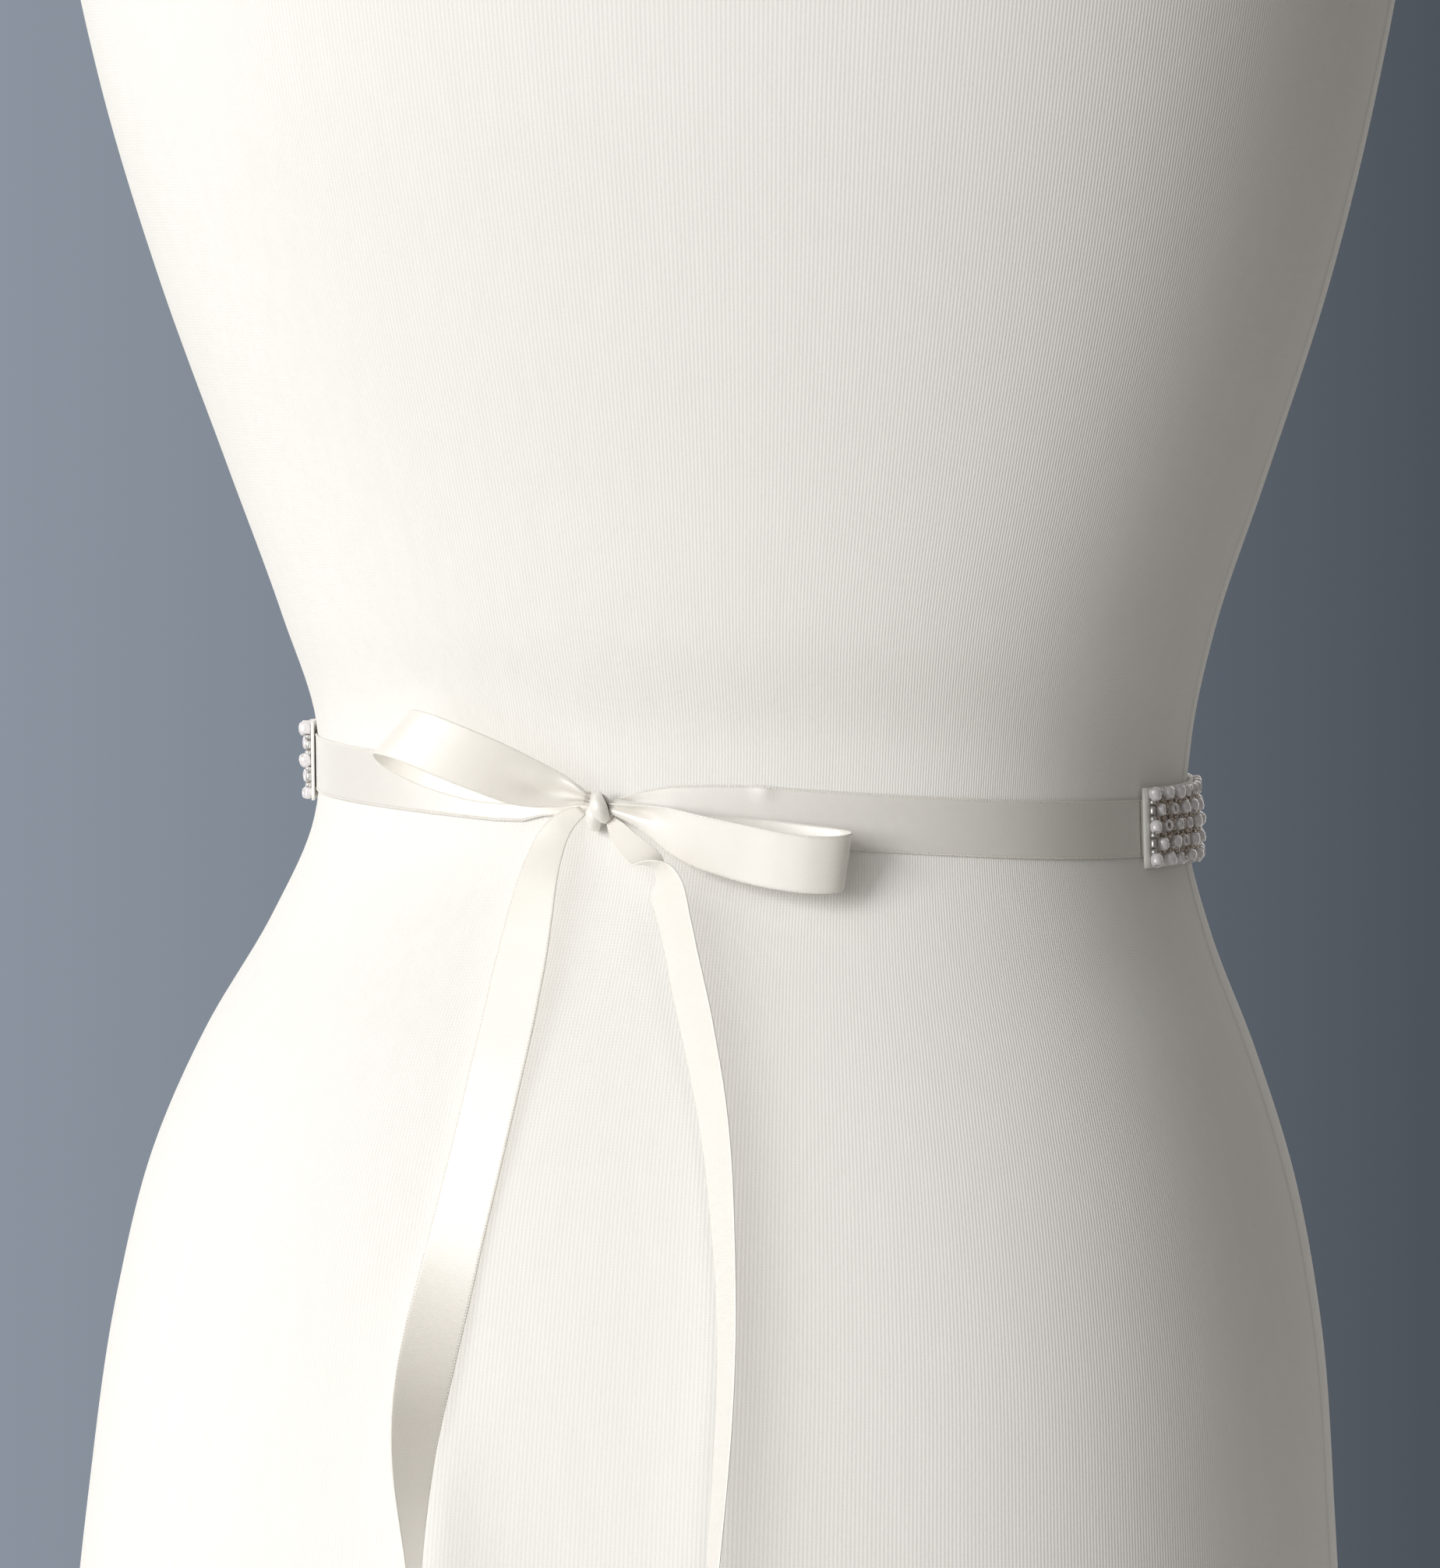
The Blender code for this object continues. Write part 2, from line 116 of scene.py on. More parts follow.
# Each ribbon stretch of the bow is a row of rungs laid across it. A rung's place is measured from the
# knot's middle: right (+X), up (+Z) and out, in millimetres. Out is away from the wearer (-Y) on a loop,
# and the clearance from the form on a tail. Its direction is an angle from upright towards the right,
# and then a tip outwards.
Rung = namedtuple("Rung", "right up out width lean tip")
LEFT_LOOP = (
    Rung(-2.9, 3.4, 1.4, 2.8, 14, 0),
    Rung(-9.8, 5.0, 2.8, 8.6, 16, -4),
    Rung(-18.5, 7.2, 5.0, 13.0, 20, -6),
    Rung(-28.5, 11.2, 7.5, 14.6, 25, -8),
    Rung(-38.5, 15.0, 8.6, 15.0, 30, -8),
    Rung(-47.0, 18.0, 8.0, 15.0, 35, -8),
    Rung(-53.0, 19.2, 5.6, 15.0, 38, -8),
    Rung(-56.0, 18.6, 1.6, 15.0, 40, -8),
    Rung(-54.5, 15.6, -2.2, 15.0, 38, -6),
    Rung(-47.5, 12.0, -3.4, 15.0, 33, -5),
    Rung(-39.5, 9.6, -3.0, 15.0, 29, -4),
    Rung(-31.0, 8.0, -2.4, 15.0, 26, -3),
    Rung(-22.0, 6.4, -1.8, 12.0, 22, -2),
    Rung(-12.5, 5.2, -1.2, 7.6, 18, 0),
    Rung(-2.8, 3.4, -0.6, 2.8, 14, 0),
)
RIGHT_LOOP = (
    Rung(3.5, 0.9, 1.6, 2.4, 0, 0),
    Rung(10.5, -0.6, 3.0, 5.4, 0, 2),
    Rung(16.0, -2.2, 4.8, 8.8, 2, 4),
    Rung(21.5, -4.2, 6.6, 12.0, 5, 6),
    Rung(28.0, -6.2, 8.2, 13.8, 7, 7),
    Rung(35.0, -7.7, 9.3, 14.4, 10, 6),
    Rung(42.0, -9.1, 10.0, 15.0, 10, 5),
    Rung(50.5, -10.5, 10.8, 15.0, 10, 4),
    Rung(59.0, -11.3, 10.6, 15.0, 8, 3),
    Rung(65.5, -11.2, 8.6, 15.0, 7, 2),
    Rung(68.0, -10.6, 5.2, 15.0, 7, 0),
    Rung(64.5, -10.0, 2.2, 15.0, 8, -6),
    Rung(54.5, -9.0, 1.2, 15.0, 9, -14),
    Rung(43.0, -7.8, 1.0, 15.0, 10, -20),
    Rung(33.0, -7.0, 1.0, 14.0, 10, -18),
    Rung(23.5, -5.0, 0.6, 11.0, 9, -12),
    Rung(13.0, -0.9, -0.1, 6.0, 4, -4),
    Rung(3.4, 1.9, -0.6, 2.4, 0, 0),
)
LEFT_TAIL = (
    Rung(-4.0, -0.5, 4.4, 2.6, 130, 0),
    Rung(-6.8, -2.6, 5.4, 5.0, 130, 0),
    Rung(-9.2, -6.2, 6.6, 7.2, 126, 0),
    Rung(-11.0, -11.6, 7.6, 9.4, 117, 2),
    Rung(-12.2, -21.0, 8.8, 11.6, 106, 4),
    Rung(-13.0, -31.5, 8.2, 13.4, 101, 2),
    Rung(-14.0, -43.0, 7.0, 14.6, 99, 0),
    Rung(-16.0, -61.5, 4.6, 15.0, 100, -2),
    Rung(-20.0, -89.5, 2.8, 15.0, 102, -3),
    Rung(-24.0, -113.5, 2.8, 15.0, 102, -8),
    Rung(-26.6, -135.5, 6.2, 15.0, 100, -28),
    Rung(-27.4, -153.0, 9.4, 15.0, 97, -52),
    Rung(-26.6, -168.0, 12.0, 15.0, 93, -72),
    Rung(-23.8, -190.0, 15.0, 15.0, 90, -98),
    Rung(-20.5, -222.0, 17.0, 15.0, 90, -118),
    Rung(-18.5, -262.0, 18.5, 15.0, 90, -128),
    Rung(-18.0, -303.0, 20.0, 15.0, 90, -130),
)
RIGHT_TAIL = (
    Rung(3.8, -3.2, 4.6, 2.4, 56, 180),
    Rung(6.0, -5.8, 5.8, 4.6, 52, 178),
    Rung(9.0, -9.4, 7.6, 6.2, 48, 174),
    Rung(12.6, -13.2, 9.6, 7.6, 48, 168),
    Rung(16.2, -16.8, 11.0, 9.4, 52, 148),
    Rung(18.4, -19.6, 11.4, 12.4, 57, 92),
    Rung(20.6, -22.4, 11.4, 14.2, 61, 56),
    Rung(23.6, -26.8, 11.2, 15.0, 66, 49),
    Rung(26.6, -33.5, 10.8, 15.0, 69, 50),
    Rung(30.2, -43.5, 9.8, 15.0, 71, 50),
    Rung(36.6, -59.5, 8.6, 15.0, 71, 50),
    Rung(42.0, -75.5, 8.0, 15.0, 74, 52),
    Rung(46.0, -92.5, 8.0, 15.0, 78, 55),
    Rung(49.2, -113.0, 8.4, 15.0, 83, 60),
    Rung(51.0, -134.0, 8.8, 15.0, 87, 63),
    Rung(51.6, -158.0, 9.6, 15.0, 90, 65),
    Rung(51.0, -187.0, 11.4, 15.0, 92, 68),
    Rung(49.0, -222.0, 13.8, 15.0, 92, 66),
    Rung(47.5, -258.0, 15.8, 15.0, 91, 60),
    Rung(47.0, -296.0, 17.2, 15.0, 90, 52),
)

# Where the waist ribbon draws together at the knot: away is the distance from the knot's middle
# along the waist, and the rest is as for a rung, in millimetres.
Gather = namedtuple("Gather", "away width drop lift")
LEFT_GATHER = (
    Gather(2.6, 2.6, 1.4, 0.8),
    Gather(10.0, 6.4, 1.0, 0.7),
    Gather(16.5, 9.8, 0.2, 0.5),
    Gather(22.0, 13.4, 0.2, 0.2),
    Gather(30.0, 15.0, 0.0, 0.0),
)
RIGHT_GATHER = (
    Gather(3.0, 2.6, 0.8, 0.8),
    Gather(10.5, 8.0, 0.4, 0.7),
    Gather(19.0, 12.4, 0.4, 0.5),
    Gather(30.0, 14.2, 0.2, 0.2),
    Gather(40.0, 15.0, 0.0, 0.0),
)

# Soft swells in the cloth: places along it in metres, and across it as shares of its width
Ripple = namedtuple("Ripple", "along spread across reach slant rise")
PLEAT_ONSET = 1.5
PLEAT_PHASE = 1.3
LEFT_LOOP_RIPPLES = (
    Ripple(0.0020, 0.0045, 0.92, 0.22, 0.0, 0.0014),
    Ripple(0.0105, 0.0060, 0.40, 0.18, 0.8, -0.0010),
    Ripple(0.0120, 0.0080, 0.70, 0.16, 0.8, 0.0006),
)
RIGHT_LOOP_RIPPLES = (
    Ripple(0.0085, 0.0055, 0.74, 0.16, 0.0, -0.0016),
    Ripple(0.0075, 0.0060, 1.00, 0.12, 0.0, 0.0007),
)
RIGHT_WAIST_RIPPLES = (Ripple(0.0400, 0.0026, 0.97, 0.20, 1.2, 0.0005),)

# Beads: a bugle is its radius, its hole and half its length
PANEL_MARGIN = 0.0026
BEAD_SINK = 0.0001
RING_HALF_LENGTH = 0.00115
RING_HOLE = 0.00078
PEARL_HOLE = 0.00032
SEED_HOLE = 0.0003
SEED_HALF_LENGTH = 0.00062
BUGLE = (0.0008, 0.00035, 0.00115)
SEED_IN_RING = 0.8
BEAD_SEED = 7
RING_SHARE = 0.62
EDGE_ROW = 2.12

# The knot: a band over the front, and the lobe of ribbon tucked under it. Places are from the knot's middle.
Band = namedtuple("Band", "right up out half_depth half_height lean width crown")
KNOT_BANDS = {
    "knot_wrap": Band(0.0009, 0.0009, 0.0007, 0.0024, 0.0032, -0.38, 0.0044, 0.0011),
    "knot_tuck": Band(-0.0009, -0.0012, -0.0006, 0.0021, 0.0035, 0.05, 0.0042, 0.0010),
}
KNOT_PLEATS = 3.0
KNOT_BACK_DEPTH = 0.0012

# The stage
FLOOR_RADIUS = 0.6
CAMERA_ANGLES = (15.0, 3.74, 0.8)
CAMERA_TARGET = (-0.0042, 0.02, 0.3569)
CAMERA_DISTANCE = 2.2
CAMERA_FIELD = 10.885
SENSOR = 36.0
LIGHT_TARGET = (0.0, 0.0, 0.36)
Light = namedtuple("Light", "name azimuth elevation distance width height energy colour")
LIGHTS = (Light("window", -36.0, 14.0, 2.2, 1.1, 1.1, 27.5, (1.0, 0.99, 0.975)),)
# Broad pools of light in the room round the form: the higher the power, the tighter the pool.
Pool = namedtuple("Pool", "azimuth elevation power colour")
POOLS = (
    Pool(-33.0, 10.0, 4.0, (1.44, 1.435, 1.42)),
    Pool(-160.0, 10.0, 2.0, (1.12, 1.11, 1.09)),
)
AMBIENT = (0.155, 0.148, 0.138)
# The surround seen from the camera is a painted light falloff, lighter on the left and darker on the right;
# it lights nothing
SURROUND_PAINTED_LIGHT_LEFT = (0.27, 0.31, 0.365)
SURROUND_PAINTED_SHADE_RIGHT = (0.06, 0.07, 0.085)
SURROUND_PAINTED_FALLOFF_SPREAD = 0.1

# How finely each piece is meshed
FORM_MESH = (220, 260)
WAIST_MESH = (14, 150)
LOOP_MESH = (30, 170)
TAIL_MESH = (18, 260)
PANEL_MESH = (8, 200)
KNOT_MESH = (40, 64)
SELVAGE_SIDES = 5
STEPS_A_STITCH = 3
STITCH_SWELL = 0.42
WELD = 1e-6
SAMPLES = 700

# The edges of the form, and its side seams, whose knit is scaled to a girth
EDGE_RADIUS = 0.004
SEAM_HALF_WIDTH = 0.0011
SEAM_RISE = 0.0005
SEAM_SINK = 0.0001
SEAM_MESH = (6, 300)
TYPICAL_GIRTH = 0.7
SEAM_TURNS = (math.radians(91), math.radians(269))

Z_AXIS = np.array((0.0, 0.0, 1.0))


# ---------------------------------------------------------------- the form's surface


def curve_through(rows, at):
    """Rows at the positions `at`, on a smooth curve through rows whose first column is the position."""
    table, at = np.array(rows, float), np.asarray(at, float)
    spots = table[:, 0]
    slopes = np.gradient(table, spots, axis=0)
    i = np.clip(np.searchsorted(spots, at, side="right") - 1, 0, len(spots) - 2)
    gap = (spots[i + 1] - spots[i])[..., None]
    u = (at - spots[i])[..., None] / gap
    return (
        (2 * u**3 - 3 * u**2 + 1) * table[i]
        + (u**3 - 2 * u**2 + u) * gap * slopes[i]
        + (3 * u**2 - 2 * u**3) * table[i + 1]
        + (u**3 - u**2) * gap * slopes[i + 1]
    )


def bust_rise(x, z):
    across, below, above = BUST_SPREAD
    height = (z - BUST_APEX[1]) / np.where(z > BUST_APEX[1], above, below)
    return sum(
        BUST_RISE * np.exp(-(((x - side * BUST_APEX[0]) / across) ** 2) - height**2) for side in (-1, 1)
    )


def surface(turn, z):
    """Points on the form: turn runs from centre back towards +X."""
    turn, z = np.broadcast_arrays(np.asarray(turn, float), np.asarray(z, float))
    _, half_width, centre_y, back, front = np.moveaxis(curve_through(FORM_SECTIONS, z), -1, 0)
    across = (np.sin(turn) + SQUARENESS * np.sin(3 * turn)) / (1 - SQUARENESS)
    along = (np.cos(turn) - SQUARENESS * np.cos(3 * turn)) / (1 - SQUARENESS)
    x = half_width * across
    depth = np.where(along > 0, back, front + bust_rise(x, z))
    return np.stack([x, centre_y - depth * along, z], -1)


def unit(vectors):
    return vectors / np.linalg.norm(vectors, axis=-1, keepdims=True)


def form_axes(turn, z):
    """Unit vectors along the form to the right, up it, and out of it."""
    right = unit(surface(turn + PROBE, z) - surface(turn - PROBE, z))
    out = unit(np.cross(right, surface(turn, z + PROBE) - surface(turn, z - PROBE)))
    return right, np.cross(out, right), out


def off_form(turn, z, lift):
    """Points that stand `lift` clear of the form."""
    turn, z = np.asarray(turn, float), np.asarray(z, float)
    return surface(turn, z) + np.asarray(lift)[..., None] * form_axes(turn, z)[2]


def turn_at(x, z):
    """The turn at which the form's back passes x at height z."""
    low, high = np.full(np.shape(x), -math.pi / 2), np.full(np.shape(x), math.pi / 2)
    for _ in range(HALVINGS):
        middle = (low + high) / 2
        short = surface(middle, z)[..., 0] < x
        low, high = np.where(short, middle, low), np.where(short, high, middle)
    return (low + high) / 2


def ring_height(turn):
    return SASH_HEIGHT + SASH_TILT * surface(turn, SASH_HEIGHT)[..., 0]


def towards(azimuth, elevation):
    """The unit vector towards an azimuth, from the wearer's back towards +X, and an elevation, in degrees."""
    azimuth, elevation = math.radians(azimuth), math.radians(elevation)
    flat = math.cos(elevation)
    return Vector((math.sin(azimuth) * flat, -math.cos(azimuth) * flat, math.sin(elevation)))


KNOT_MIDDLE = off_form(KNOT_TURN, ring_height(KNOT_TURN) - KNOT_DROP, KNOT_LIFT)


# ---------------------------------------------------------------- stretches of cloth


class Stretch:
    """A stretch of cloth: its middle line, which way it lies across, how wide it is, and its folds."""

    def __init__(
        self, middles, across, widths, full_width, pleats=0.0, depth=0.0, crown=0.0, ripples=(), face=1
    ):
        steps = np.linalg.norm(np.diff(middles, axis=0), axis=1)
        reach = np.concatenate([[0], np.cumsum(steps)])
        self.length = float(reach[-1])
        self.spots = reach / self.length
        self.middles, self.across, self.widths = middles, unit(across), widths
        forward = unit(np.gradient(middles, reach, axis=0))
        self.out = face * unit(np.cross(self.across, forward))
        self.full_width, self.pleats, self.depth, self.crown = full_width, pleats, depth, crown
        self.ripples = ripples

    def read(self, rows, v):
        return np.stack([np.interp(v, self.spots, column) for column in rows.T], -1)

    def axes(self, v):
        """Unit vectors across the cloth and out of its face."""
        return unit(self.read(self.across, v)), unit(self.read(self.out, v))

    def at(self, u, v):
        """Points of the cloth, u across it and v along it, both from 0 to 1."""
        across, out = self.axes(v)
        width = np.interp(v, self.spots, self.widths)
        drawn = np.clip(PLEAT_ONSET * (1 - width / self.full_width), 0, 1) ** 2
        depth = self.depth if np.isscalar(self.depth) else np.interp(v, self.spots, self.depth)
        rise = depth * drawn * np.cos(math.tau * self.pleats * (u - 0.5) + PLEAT_PHASE)
        crown = self.crown if np.isscalar(self.crown) else np.interp(v, self.spots, self.crown)
        rise = rise + crown * (1 - (2 * u - 1) ** 2)
        for ripple in self.ripples:
            far = (v * self.length - ripple.along) / ripple.spread + ripple.slant * (u - ripple.across)
            side = (u - ripple.across) / ripple.reach
            rise = rise + ripple.rise * np.exp(-(far**2) - side**2)
        return self.read(self.middles, v) + ((u - 0.5) * width)[..., None] * across + rise[..., None] * out


def waist_stretch(first, last, height, lift, **folds):
    """Cloth that lies flat on the form, from one turn to another along the sash's ring."""
    turns = np.linspace(first, last, SAMPLES)
    middle = ring_height(turns)
    return between_edges(turns, middle - height / 2, middle + height / 2, lift, height, **folds)


def between_edges(turns, low, high, lift, full_width, **folds):
    low, high = off_form(turns, low, lift), off_form(turns, high, lift)
    widths = np.linalg.norm(high - low, axis=1)
    return Stretch((low + high) / 2, high - low, widths, full_width, **folds)


def gathered_stretch(rows, side, full_width, lift, **folds):
    """Waist ribbon from the panel's end, where it lies plain, to the knot, where it draws together."""
    away = np.array([row.away for row in rows]) / 1000
    turns = turn_at(KNOT_MIDDLE[0] + side * away, SASH_HEIGHT)
    turns = np.concatenate([[side * PANEL_END_TURN], turns[::-1]])
    plain = (full_width * 1000, 0.0, 0.0)
    facts = np.array([plain, *((row.width, row.drop, row.lift) for row in rows[::-1])]) / 1000
    table = np.column_stack([side * turns, facts])[::-1]
    at = np.linspace(table[0, 0], table[-1, 0], SAMPLES)
    width, drop, more = (np.interp(at, table[:, 0], table[:, k]) for k in (1, 2, 3))
    turns = side * at
    middle = ring_height(turns) - drop
    return between_edges(turns, middle - width / 2, middle + width / 2, lift + more, full_width, **folds)


def rung_direction(rungs, axes):
    """Unit vectors along the rungs, in the right, up and out axes."""
    lean, tip = np.radians(rungs[:, 5])[:, None], np.radians(rungs[:, 6])[:, None]
    right, up, out = axes
    return np.cos(tip) * (np.sin(lean) * right + np.cos(lean) * up) + np.sin(tip) * out


def smooth_rungs(rows):
    numbered = [(i, *row) for i, row in enumerate(rows)]
    return curve_through(numbered, np.linspace(0, len(rows) - 1, SAMPLES))


def loop_stretch(rows, full_width, **folds):
    """A bow loop, whose rungs are placed in axes square to the wearer."""
    rungs = smooth_rungs(rows)
    axes = np.array(((1.0, 0, 0), (0, 0, 1.0), (0, -1.0, 0)))
    middles = KNOT_MIDDLE + rungs[:, 1:4] / 1000 @ axes
    return Stretch(middles, rung_direction(rungs, axes), rungs[:, 4] / 1000, full_width, **folds)


def tail_stretch(rows, full_width, **folds):
    """A hanging tail, whose rungs are placed in the form's own axes below the knot."""
    rungs = smooth_rungs(rows)
    z = KNOT_MIDDLE[2] + rungs[:, 2] / 1000
    turns = turn_at(KNOT_MIDDLE[0] + rungs[:, 1] / 1000, z)
    middles = off_form(turns, z, rungs[:, 3] / 1000)
    direction = rung_direction(rungs, form_axes(turns, z))
    return Stretch(middles, direction, rungs[:, 4] / 1000, full_width, **folds)


# ---------------------------------------------------------------- meshes and pieces


def shaped_grid(columns, rows, place, uv_size, weld=False):
    """A bmesh grid laid where place(u, v) says, with a UV map of the size given."""
    shape = bmesh.new()
    uv = shape.loops.layers.uv.new("cloth")
    bmesh.ops.create_grid(shape, x_segments=columns, y_segments=rows, size=1, calc_uvs=True)
    spots = np.array([vert.co[:2] for vert in shape.verts])
    spots = (spots - spots.min(0)) / np.ptp(spots, axis=0)
    for vert, point in zip(shape.verts, place(spots[:, 0], spots[:, 1])):
        vert.co = point
    shape.verts.index_update()
    for face in shape.faces:
        face.smooth = True
        for loop in face.loops:
            u, v = spots[loop.vert.index]
            loop[uv].uv = (u * uv_size[0], v * uv_size[1])
    if weld:
        bmesh.ops.remove_doubles(shape, verts=shape.verts, dist=WELD)
    return shape


def add_piece(name, shape, material, replaced=(), wall=0.0):
    """The finished bmesh as a piece that rides on the frame, with a wall if it is open cloth."""
    mesh = bpy.data.meshes.new(name)
    shape.to_mesh(mesh)
    shape.free()
    mesh.materials.append(material)
    piece = bpy.data.objects.new(name, mesh)
    bpy.context.scene.collection.objects.link(piece)
    if wall:
        solidify = piece.modifiers.new("Wall", "SOLIDIFY")
        solidify.thickness, solidify.offset = wall, 0
    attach(piece, BODY)
    if replaced:
        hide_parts(*replaced)
    return piece


def tube_along(path, across, out, radius, sides):
    """place(u, v) for a tube round a path: across and out are its unit axes at v, and radius its size."""

    def place(u, v):
        swing = math.tau * u
        reach = np.cos(swing)[..., None] * across(v) + np.sin(swing)[..., None] * out(v)
        return path(v) + radius(v)[..., None] * reach

    return place


def selvage_shape(stretch, sizes):
    """The knobbly woven edges of a ribbon: a fine tube along each, thicker at each stitch."""
    stitches = max(2, round(stretch.length / sizes.stitch_pitch))
    shape = bmesh.new()
    shape.loops.layers.uv.new("cloth")
    for edge in (sizes.selvage_inset / stretch.full_width, 1 - sizes.selvage_inset / stretch.full_width):
        place = tube_along(
            lambda v, edge=edge: stretch.at(np.full(np.shape(v), edge), v),
            lambda v: stretch.axes(v)[0],
            lambda v: stretch.axes(v)[1],
            lambda v: sizes.selvage_radius * (1 + STITCH_SWELL * np.cos(math.tau * stitches * v)),
            SELVAGE_SIDES,
        )
        tube = shaped_grid(
            SELVAGE_SIDES, stitches * STEPS_A_STITCH, place, (0.001, stretch.length), weld=True
        )
        bmesh.ops.holes_fill(tube, edges=tube.edges, sides=SELVAGE_SIDES)
        bmesh.ops.recalc_face_normals(tube, faces=tube.faces)
        part = bpy.data.meshes.new("selvage part")
        tube.to_mesh(part)
        tube.free()
        shape.from_mesh(part)
        bpy.data.meshes.remove(part)
    return shape


def add_ribbon(name, stretch, mesh_size, replaced, context):
    """A stretch of satin ribbon with its woven edges, given a wall as thick as the ribbon. Returns both."""
    sizes, finishes = context.scene.sash_sizes, context.scene.sash_colours
    shape = shaped_grid(*mesh_size, stretch.at, (stretch.full_width, stretch.length))
    satin = satin_material(finishes.ribbon)
    piece = add_piece(name, shape, satin, replaced, sizes.ribbon_thickness)
    selvage = add_piece(
        f"selvage_{name}", selvage_shape(stretch, sizes), selvage_material(finishes.selvage)
    )
    return piece, selvage


def let_light_through(*pieces):
    """Satin so thin that it leaves no direct shadow on the form."""
    for piece in pieces:
        piece.visible_shadow = False


def scattered(template, places):
    """One bmesh of copies of a template bmesh, one at each matrix."""
    shape = bmesh.new()
    part = bpy.data.meshes.new("bead")
    template.to_mesh(part)
    template.free()
    for place in places:
        copy = part.copy()
        copy.transform(place)
        shape.from_mesh(copy)
        bpy.data.meshes.remove(copy)
    bpy.data.meshes.remove(part)
    return shape


def bead_shape(radius, hole, half_length, rim, steps, roundness):
    """A bead spun round its hole, which runs along Z: a closed profile of `rim` points."""
    shape = bmesh.new()
    middle, thick = (radius + hole) / 2, (radius - hole) / 2
    verts = []
    for k in range(rim):
        angle = math.tau * k / rim + math.pi / rim
        side = math.copysign(abs(math.cos(angle)) ** roundness, math.cos(angle))
        end = math.copysign(abs(math.sin(angle)) ** roundness, math.sin(angle))
        verts.append(shape.verts.new((middle + thick * side, 0, half_length * end)))
    edges = [shape.edges.new((verts[k - 1], verts[k])) for k in range(rim)]
    around = {"cent": (0, 0, 0), "axis": (0, 0, 1), "angle": math.tau}
    bmesh.ops.spin(shape, geom=[*verts, *edges], steps=steps, use_merge=True, **around)
    bmesh.ops.remove_doubles(shape, verts=shape.verts, dist=WELD)
    bmesh.ops.recalc_face_normals(shape, faces=shape.faces)
    for face in shape.faces:
        face.smooth = True
    return shape


# ---------------------------------------------------------------- materials


class Nodes:
    """A material's nodes, made one at a time and joined by name."""

    def __init__(self, name, settings):
        self.material = bpy.data.materials.new(name)
        self.material.use_nodes = True
        self.tree = self.material.node_tree
        self.shader = self.tree.nodes["Principled BSDF"]
        for socket, value in settings.items():
            self.shader.inputs[socket].default_value = value

    def add(self, kind, sockets=(), **settings):
        """A node of this kind. A socket's value is a number or vector, or another node's output."""
        node = self.tree.nodes.new(kind)
        for setting, value in settings.items():
            setattr(node, setting, value)
        for socket, value in dict(sockets).items():
            if isinstance(value, bpy.types.NodeSocket):
                self.tree.links.new(value, node.inputs[socket])
            else:
                node.inputs[socket].default_value = value
        return node

    def math(self, operation, first, second=0.0):
        return self.add("ShaderNodeMath", {0: first, 1: second}, operation=operation).outputs[0]

    def wave(self, position, pitch):
        """A sine of this pitch along a position, from -1 to 1."""
        return self.math("SINE", self.math("MULTIPLY", position, math.tau / pitch))

    def noise(self, vector, scale, detail=2.0):
        sockets = {"Vector": vector, "Scale": scale, "Detail": detail}
        return self.add("ShaderNodeTexNoise", sockets).outputs["Fac"]

    def stretched(self, vector, scale):
        return self.add("ShaderNodeMapping", {"Vector": vector, "Scale": scale}).outputs[0]

    def cloth_uv(self):
        found = self.add("ShaderNodeUVMap", uv_map="cloth").outputs[0]
        split = self.add("ShaderNodeSeparateXYZ", {0: found})
        return found, split.outputs[0], split.outputs[1]

    def objects(self):
        return self.add("ShaderNodeTexCoord").outputs["Object"]

    def colour(self, share, low, high):
        """A colour from low to high by share, which runs from 0 to 1."""
        sockets = {0: share, 6: (*low, 1.0), 7: (*high, 1.0)}
        mix = self.add("ShaderNodeMix", sockets, data_type="RGBA")
        self.tree.links.new(mix.outputs[2], self.shader.inputs["Base Color"])

    def bump(self, height, distance):
        node = self.add("ShaderNodeBump", {"Height": height, "Distance": distance})
        self.tree.links.new(node.outputs[0], self.shader.inputs["Normal"])


def shade(colour, share):
    return tuple(share * part for part in colour)


def made_once(name):
    """A finish is built the first time it is asked for, and shared after that."""

    def wrap(build):
        def finish(*settings):
            return bpy.data.materials.get(name) or build(name, *settings)

        return finish

    return wrap


@made_once("ivory_jersey_cover")
def jersey_material(name, colour, wales):
    """Fine knitted wales that run up the form, with short stitches along them."""
    settings = {"Roughness": 0.88, "Sheen Weight": 0.12, "Sheen Roughness": 0.5, "Specular IOR Level": 0.25}
    nodes = Nodes(name, settings)
    found, around, up = nodes.cloth_uv()
    wale = nodes.wave(around, 1 / wales)
    stitch = nodes.wave(nodes.math("ADD", up, nodes.math("MULTIPLY", wale, 0.0001)), 0.00075)
    fuzz = nodes.noise(nodes.objects(), 900.0, 3.0)
    height = nodes.math("ADD", wale, nodes.math("MULTIPLY", stitch, 0.35))
    height = nodes.math("ADD", height, nodes.math("MULTIPLY", fuzz, 1.6))
    nodes.bump(height, 0.000022)
    slub = nodes.noise(nodes.stretched(nodes.objects(), (260.0, 260.0, 30.0)), 1.0, 4.0)
    # Colour: painted shade, darker in the grooves between the wales, plus random slub tone
    share = nodes.math("ADD", nodes.math("MULTIPLY", wale, 0.22), slub)
    nodes.colour(share, shade(colour, 0.95), colour)
    return nodes.material


